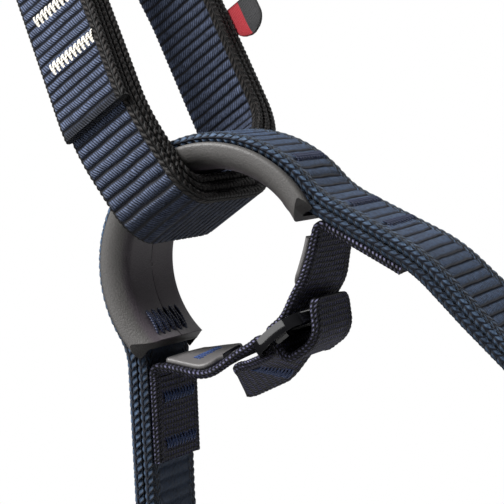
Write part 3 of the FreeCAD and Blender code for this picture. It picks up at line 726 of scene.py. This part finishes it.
for side, start, end in (("left", (-0.014, 0, -0.014), (-0.002, 0, -0.016)),
                         ("right", (0.018, 0, -0.008), (0.010, 0, -0.014))):
    run = Webbing(runs[side], tape_width, tape_thick, twist=run_twist[side])
    piece = run.mesh("tape_run_%s_cloth" % side, tape_relief, tape_edge, pitch=0.25)
    piece.data.materials.append(tape_cloth)
    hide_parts("tape_run_" + side)
    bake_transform(piece)

# ---------------------------------------------------------------- wear liners
# A thin moulded tongue is sewn inside the tape below each end of the guard, with blue thread. It is
# the guard's grey, and its free end is rounded.
liner_plastic, tree, shader = new_material("liner_plastic", 0.5, Specular_IOR_Level=0.45)
grain = mottle(tree, 2600, 3.0)
tree.links.new(blend_colour(tree, calc(tree, "MULTIPLY_ADD", grain, 0.5, 0.75, clamp=True),
                            (0.03, 0.03, 0.03), (0.105, 0.1, 0.1)), shader.inputs["Base Color"])
raise_threads(tree, shader, grain, 0.00006)
for side, inside in (("left", 1), ("right", -1)):
    liner = Webbing(runs[side], 16.4, 1.1, inside * (tape_layer / 2 + layer_gap + 0.6), twist=run_twist[side],
                    start=4.6, stop=15.6)
    piece = liner.mesh("liner_%s_shell" % side, lambda s, w, f: 0.0, lambda s, e: 0.0, pitch=0.4,
                       narrow=round_end(15.6, 1, 4, 8.2), crown=0.12)
    piece.data.materials.append(liner_plastic)
    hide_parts("liner_" + side)
    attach(piece, "tie_in_loop")
    piece = sew("liner_stitching_" + side, liner, [(9.5, 0, 9.5, 2.2)], 0.6, 0.2, 0.62, blue_thread,
                side=inside)
    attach(piece, "tie_in_loop")

# ---------------------------------------------------------------- slider
# A three-bar slider moulded in glossy black nylon, with all its edges rounded by the mould. Its two
# side bars arch over the tape.
slider_half, slider_side, slot_half, slider_corner = 6.0, 11.5, 9.2, 2.8


def bar_height(x, y):
    """The two side bars rise in a low arch over the tape, and stand thicker than the cross bars."""
    if abs(y) < slot_half:
        return 0.0, 1.1
    rise = 1 - (x / slider_half) ** 2
    return 0.75 * rise, 1.1 + 0.1 * rise


slider_xs = [-6.0, -5.85, -5.65, -5.4, -5.1, -4.8, -3.9, -3.1, -2.2, -1.4, -0.7]
slider_xs += [0.0] + [-x for x in reversed(slider_xs)]
slider_ys = [-11.5, -11.3, -11.05, -10.7, -10.3, -9.8, -9.3, -9.0, -4.5]
slider_ys += [0.0] + [-y for y in reversed(slider_ys)]
turn_slider = Matrix.Rotation(-slider_lean, 4, "Y")
work = bmesh.new()
for face in (1, -1):
    grid = []
    for x in slider_xs:
        for y in slider_ys:
            flat_x, flat_y = slider_half - slider_corner, slider_side - slider_corner
            cx, cy = max(0.0, abs(x) - flat_x), max(0.0, abs(y) - flat_y)
            far = math.hypot(cx, cy)
            pull = slider_corner / far if far > slider_corner else 1.0
            px = math.copysign(min(abs(x), flat_x) + cx * pull, x)
            py = math.copysign(min(abs(y), flat_y) + cy * pull, y)
            arch, deep = bar_height(x, y)
            spot = turn_slider @ Vector((px, py, arch + face * deep)) + Vector((slider_x, 0, slider_z))
            grid.append(work.verts.new(spot * 0.001))
    count = len(slider_ys)
    for i in range(len(slider_xs) - 1):
        for j in range(count - 1):
            middle_x = abs(slider_xs[i] + slider_xs[i + 1]) / 2
            if bar_end < middle_x < bar_left and abs(slider_ys[j] + slider_ys[j + 1]) / 2 < slot_half:
                continue
            around = [grid[i * count + j], grid[(i + 1) * count + j],
                      grid[(i + 1) * count + j + 1], grid[i * count + j + 1]]
            work.faces.new(around if face > 0 else around[::-1])
open_edges = [edge for edge in work.edges if edge.is_boundary]
work.verts.ensure_lookup_table()
half_count = len(slider_xs) * len(slider_ys)
work.verts.index_update()
for edge in open_edges:
    one, other = edge.verts
    if one.index < half_count:
        work.faces.new((one, other, work.verts[other.index + half_count], work.verts[one.index + half_count]))
loose = [vert for vert in work.verts if not vert.link_faces]
bmesh.ops.delete(work, geom=loose, context="VERTS")
bmesh.ops.recalc_face_normals(work, faces=work.faces)
data = bpy.data.meshes.new("slider_plate")
work.to_mesh(data)
work.free()
slider = bpy.data.objects.new("slider_plate", data)
bpy.context.collection.objects.link(slider)
soften = slider.modifiers.new("moulded_edges", "BEVEL")
soften.width, soften.segments, soften.limit_method = 0.0009, 5, "ANGLE"
soften.angle_limit = math.radians(50)
slider.data.polygons.foreach_set("use_smooth", [True] * len(slider.data.polygons))
slider_black, tree, shader = new_material("slider_black", 0.09, Specular_IOR_Level=0.35)
shader.inputs["Base Color"].default_value = (0.006, 0.006, 0.007, 1)
wear = mottle(tree, 260, 4.0)
tree.links.new(calc(tree, "MULTIPLY_ADD", wear, 0.05, 0.05), shader.inputs["Roughness"])
tree.links.new(blend_colour(tree, wear, (0.004, 0.004, 0.005), (0.011, 0.011, 0.012)),
               shader.inputs["Base Color"])
raise_threads(tree, shader, mottle(tree, 90), 0.00005)
slider.data.materials.append(slider_black)
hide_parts("slider")
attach(slider, "slider")

# ---------------------------------------------------------------- tape ends beyond the slider
# The fixed end turns back under the slider's left bar and is sewn short. The free end turns under
# the middle bar and curls up as a short tail.
back = rounded_line([(*by_slider(drop_left, 0), 0), (*by_slider(drop_left, -tape_up), 1.1),
                     (*by_slider(-bar_left - 5.5, -tape_up), 12), (-15.4, -19, 0)])
skew = 3.4
back_tape = Webbing(back, tape_width, tape_thick, twist=lambda s: 17 * min(1, s / 9),
                    stop=back.length - skew, slant=lambda s: skew * min(1, s / 10))
piece = back_tape.mesh("tape_return_cloth", tape_relief, tape_edge, pitch=0.25,
                       narrow=round_end(back.length - skew, 1, 2.0, 8.9))
piece.data.materials.append(tape_cloth)
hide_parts("tape_return")
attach(piece, "slider")
piece = sew("return_stitching", back_tape, [(back.length * 0.42, 0.5, 12.4, 2.4)], 0.75, 0.2, 0.62,
            blue_thread)
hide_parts("return_tack")
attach(piece, "slider")

tail = rounded_line([(*by_slider(drop_right, 0), 0), (*by_slider(drop_right, -tape_up - 2.3), 2),
                     (10.1, -21.7, 5), (13.4, -14.8, 0)])
tail_tape = Webbing(tail, tape_width, 1.4, twist=lambda s: 3 * min(1, s / 14))
piece = tail_tape.mesh("tape_tail_cloth", tape_relief, tape_edge, pitch=0.25,
                       narrow=round_end(tail.length, 1, 2.4, 8.9))
piece.data.materials.append(tape_cloth)
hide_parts("tape_tail")
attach(piece, "slider")

# ---------------------------------------------------------------- studio
# A plain pale floor well below, a bright backdrop, and soft light from above, in front and behind.
# The camera looks up at the arch from the front right and leans to one side.
bpy.ops.mesh.primitive_plane_add(size=6, location=(0, 0, -0.26))
floor = bpy.context.object
floor.name = "floor"
floor_paint, tree, shader = new_material("floor_paint", 0.9)
shader.inputs["Base Color"].default_value = (0.9, 0.9, 0.9, 1)
floor.data.materials.append(floor_paint)
floor.visible_diffuse = False
floor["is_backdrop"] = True

world = bpy.data.worlds.new("studio")
bpy.context.scene.world = world
world.use_nodes = True
tree = world.node_tree
backdrop = tree.nodes["Background"]
backdrop.inputs[0].default_value = (1, 1, 1, 1)
ray = tree.nodes.new("ShaderNodeLightPath")
tree.links.new(calc(tree, "MULTIPLY_ADD", ray.outputs["Is Camera Ray"], 0.955, 0.045), backdrop.inputs[1])


def softbox(name, place, aim, width, power):
    lamp = bpy.data.lights.new(name, "AREA")
    lamp.size, lamp.energy = width, power
    light = bpy.data.objects.new(name, lamp)
    light.location = place
    light.rotation_mode = "QUATERNION"
    light.rotation_quaternion = (Vector(aim) - Vector(place)).to_track_quat("-Z", "Y")
    bpy.context.collection.objects.link(light)


softbox("key", (0.06, -0.42, 0.75), (0.01, 0, 0.02), 0.3, 17)
softbox("front", (-0.4, -0.65, 0.25), (0, 0, 0.02), 0.35, 2.3)
softbox("rear", (0.3, 0.7, 0.35), (0, 0, 0.02), 0.4, 0.9)

lens = bpy.data.cameras.new("camera")
camera = bpy.data.objects.new("camera", lens)
bpy.context.collection.objects.link(camera)
right, up, back_way = (0.7407, 0.4519, -0.4972), (0.5183, 0.0865, 0.8508), (0.4275, -0.8879, -0.1701)
camera.matrix_world = Matrix.Translation((0.1802, -0.3729, -0.0702)) @ Matrix(
    (right, up, back_way)).transposed().to_4x4()
lens.sensor_width, lens.lens = 36, 156
lens.shift_x, lens.shift_y = 0.0308, 0.0103
bpy.context.scene.camera = camera
bpy.context.scene.view_settings.view_transform = "Standard"

low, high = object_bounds()
